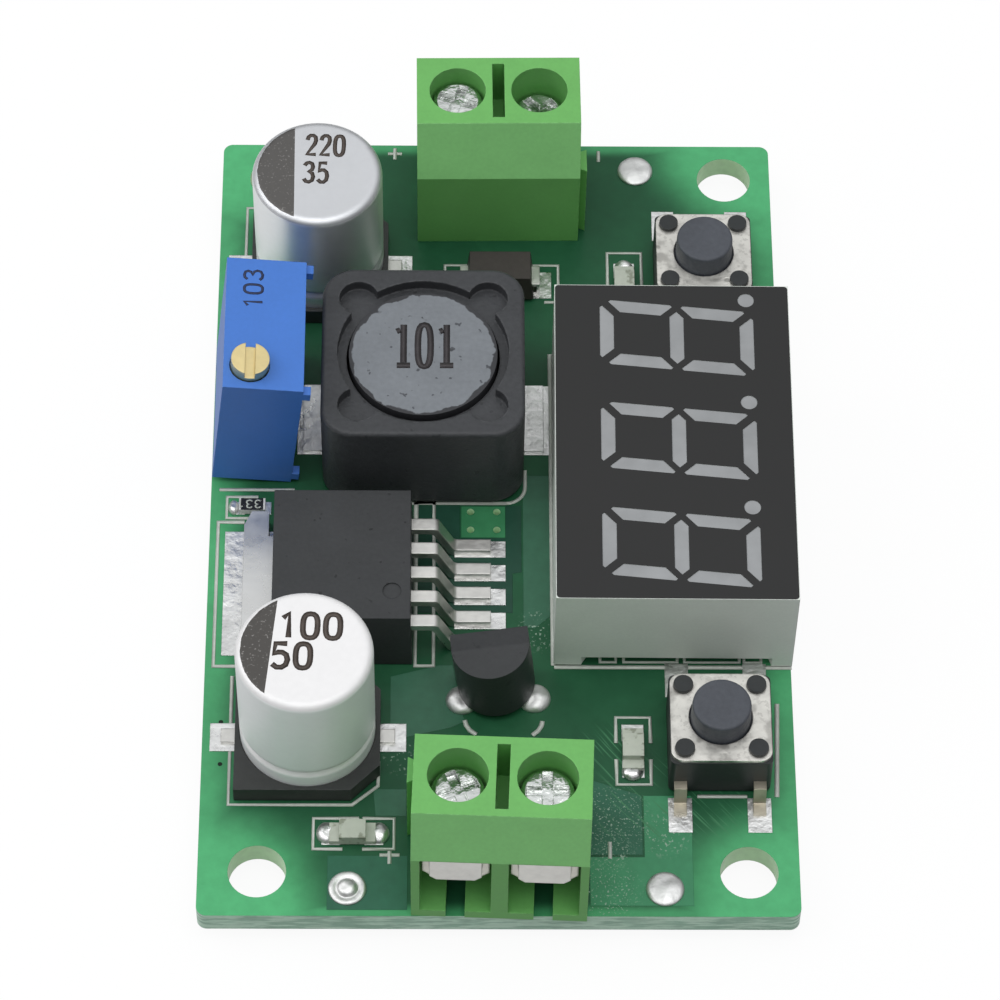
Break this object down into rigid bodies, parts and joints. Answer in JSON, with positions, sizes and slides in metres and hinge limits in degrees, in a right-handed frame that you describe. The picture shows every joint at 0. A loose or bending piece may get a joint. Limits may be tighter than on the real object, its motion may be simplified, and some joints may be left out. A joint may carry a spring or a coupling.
{
  "type": "buck converter module",
  "caption": "Adjustable step-down converter board with screw terminals at both ends, push switches, trimmer and voltmeter display.",
  "frame": {"origin": "centre of the four mounting holes, on the board's underside", "axes": "+Z out of the component side, +Y towards the output terminal, +X towards the display"},
  "size_m": [0.0352, 0.0565, 0.0138],
  "materials": {
    "board_green": "gloss",
    "terminal_green": "satin",
    "plated_steel": "satin",
    "tinned_copper": "satin",
    "solder": "gloss",
    "can_aluminium": "satin",
    "moulding_black": "matt",
    "ferrite": "matt",
    "winding_copper": "gloss",
    "trimmer_blue": "gloss",
    "screw_brass": "satin",
    "ceramic_white": "matt",
    "display_white": "satin",
    "segment_clear": "satin",
    "switch_base_black": "satin",
    "button_black": "satin"
  },
  "bodies": {
    "module": {"back_switch_base": "switch_base_black", "back_switch_cover": "plated_steel", "back_switch_dome": "plated_steel", "back_switch_leads": "tinned_copper", "chip_resistors": "ceramic_white", "circuit_board": "board_green", "diode_body": "moulding_black", "diode_leads": "tinned_copper", "display_carrier": "board_green", "display_housing": "display_white", "display_pins": "tinned_copper", "display_segments": "segment_clear", "front_switch_base": "switch_base_black", "front_switch_cover": "plated_steel", "front_switch_dome": "plated_steel", "front_switch_leads": "tinned_copper", "indicator_leds": "ceramic_white", "inductor_coil": "winding_copper", "inductor_core": "ferrite", "inductor_shield": "ferrite", "inductor_terminals": "tinned_copper", "input_capacitor_base": "moulding_black", "input_capacitor_can": "can_aluminium", "input_capacitor_leads": "tinned_copper", "input_terminal_contacts": "tinned_copper", "input_terminal_housing": "terminal_green", "meter_chip": "moulding_black", "output_capacitor_base": "moulding_black", "output_capacitor_can": "can_aluminium", "output_capacitor_leads": "tinned_copper", "output_terminal_contacts": "tinned_copper", "output_terminal_housing": "terminal_green", "reference_body": "moulding_black", "reference_leads": "tinned_copper", "regulator_body": "moulding_black", "regulator_leads": "tinned_copper", "regulator_tab": "tinned_copper", "solder_joints": "solder", "surface_solder": "solder", "trimmer_base": "trimmer_blue", "trimmer_element": "ceramic_white", "trimmer_housing": "trimmer_blue", "trimmer_pins": "tinned_copper", "wire_pads": "solder"},
    "input_screw_left_body": {"input_screw_left": "plated_steel"},
    "input_cage_left_body": {"input_cage_left": "plated_steel"},
    "input_screw_right_body": {"input_screw_right": "plated_steel"},
    "input_cage_right_body": {"input_cage_right": "plated_steel"},
    "output_screw_left_body": {"output_screw_left": "plated_steel"},
    "output_cage_left_body": {"output_cage_left": "plated_steel"},
    "output_screw_right_body": {"output_screw_right": "plated_steel"},
    "output_cage_right_body": {"output_cage_right": "plated_steel"},
    "trimmer_screw_body": {"trimmer_screw": "screw_brass"},
    "trimmer_rotor_body": {"trimmer_rotor": "ceramic_white"},
    "front_switch_button_body": {"front_switch_button": "button_black"},
    "back_switch_button_body": {"back_switch_button": "button_black"}
  },
  "joints": [
    {"name": "input_screw_left_turn", "type": "hinge", "parent": "module", "child": "input_screw_left_body", "pos_m": [-0.00267, -0.02453, 0.00975], "axis": [0, 0, 1], "range_deg": [0, 1260]},
    {"name": "input_cage_left_slide", "type": "slide", "parent": "module", "child": "input_cage_left_body", "axis": [0, 0, 1], "range_m": [-0.0017, 0]},
    {"name": "input_screw_right_turn", "type": "hinge", "parent": "module", "child": "input_screw_right_body", "pos_m": [0.00241, -0.02472, 0.00975], "axis": [0, 0, 1], "range_deg": [0, 1260]},
    {"name": "input_cage_right_slide", "type": "slide", "parent": "module", "child": "input_cage_right_body", "axis": [0, 0, 1], "range_m": [-0.0017, 0]},
    {"name": "output_screw_left_turn", "type": "hinge", "parent": "module", "child": "output_screw_left_body", "pos_m": [-0.00276, 0.02439, 0.00975], "axis": [0, 0, 1], "range_deg": [0, 1260]},
    {"name": "output_cage_left_slide", "type": "slide", "parent": "module", "child": "output_cage_left_body", "axis": [0, 0, 1], "range_m": [-0.0017, 0]},
    {"name": "output_screw_right_turn", "type": "hinge", "parent": "module", "child": "output_screw_right_body", "pos_m": [0.00232, 0.02445, 0.00975], "axis": [0, 0, 1], "range_deg": [0, 1260]},
    {"name": "output_cage_right_slide", "type": "slide", "parent": "module", "child": "output_cage_right_body", "axis": [0, 0, 1], "range_m": [-0.0017, 0]},
    {"name": "trimmer_screw_turn", "type": "hinge", "parent": "module", "child": "trimmer_screw_body", "pos_m": [-0.01514, 0.00352, 0.01172], "axis": [0.1045, 0, 0.9945], "continuous": true},
    {"name": "trimmer_rotor_turn", "type": "hinge", "parent": "module", "child": "trimmer_rotor_body", "pos_m": [-0.01553, 0.00603, 0.00799], "axis": [0.9945, 0, -0.1045], "continuous": true},
    {"name": "front_switch_button_press", "type": "slide", "parent": "module", "child": "front_switch_button_body", "axis": [0, 0, -1], "range_m": [0, 0.00025], "stiffness_N_per_m": 5000, "springref_m": -0.00004, "deforming": ["front_switch_dome"]},
    {"name": "back_switch_button_press", "type": "slide", "parent": "module", "child": "back_switch_button_body", "axis": [0, 0, -1], "range_m": [0, 0.00025], "stiffness_N_per_m": 5000, "springref_m": -0.00004, "deforming": ["back_switch_dome"]}
  ],
  "couplings": [
    {"joint": "input_screw_left_turn", "follows": "input_cage_left_slide", "rad_per_m": -12566},
    {"joint": "input_screw_right_turn", "follows": "input_cage_right_slide", "rad_per_m": -12566},
    {"joint": "output_screw_left_turn", "follows": "output_cage_left_slide", "rad_per_m": -12566},
    {"joint": "output_screw_right_turn", "follows": "output_cage_right_slide", "rad_per_m": -12566},
    {"joint": "trimmer_rotor_turn", "follows": "trimmer_screw_turn", "ratio": 0.045455}
  ]
}
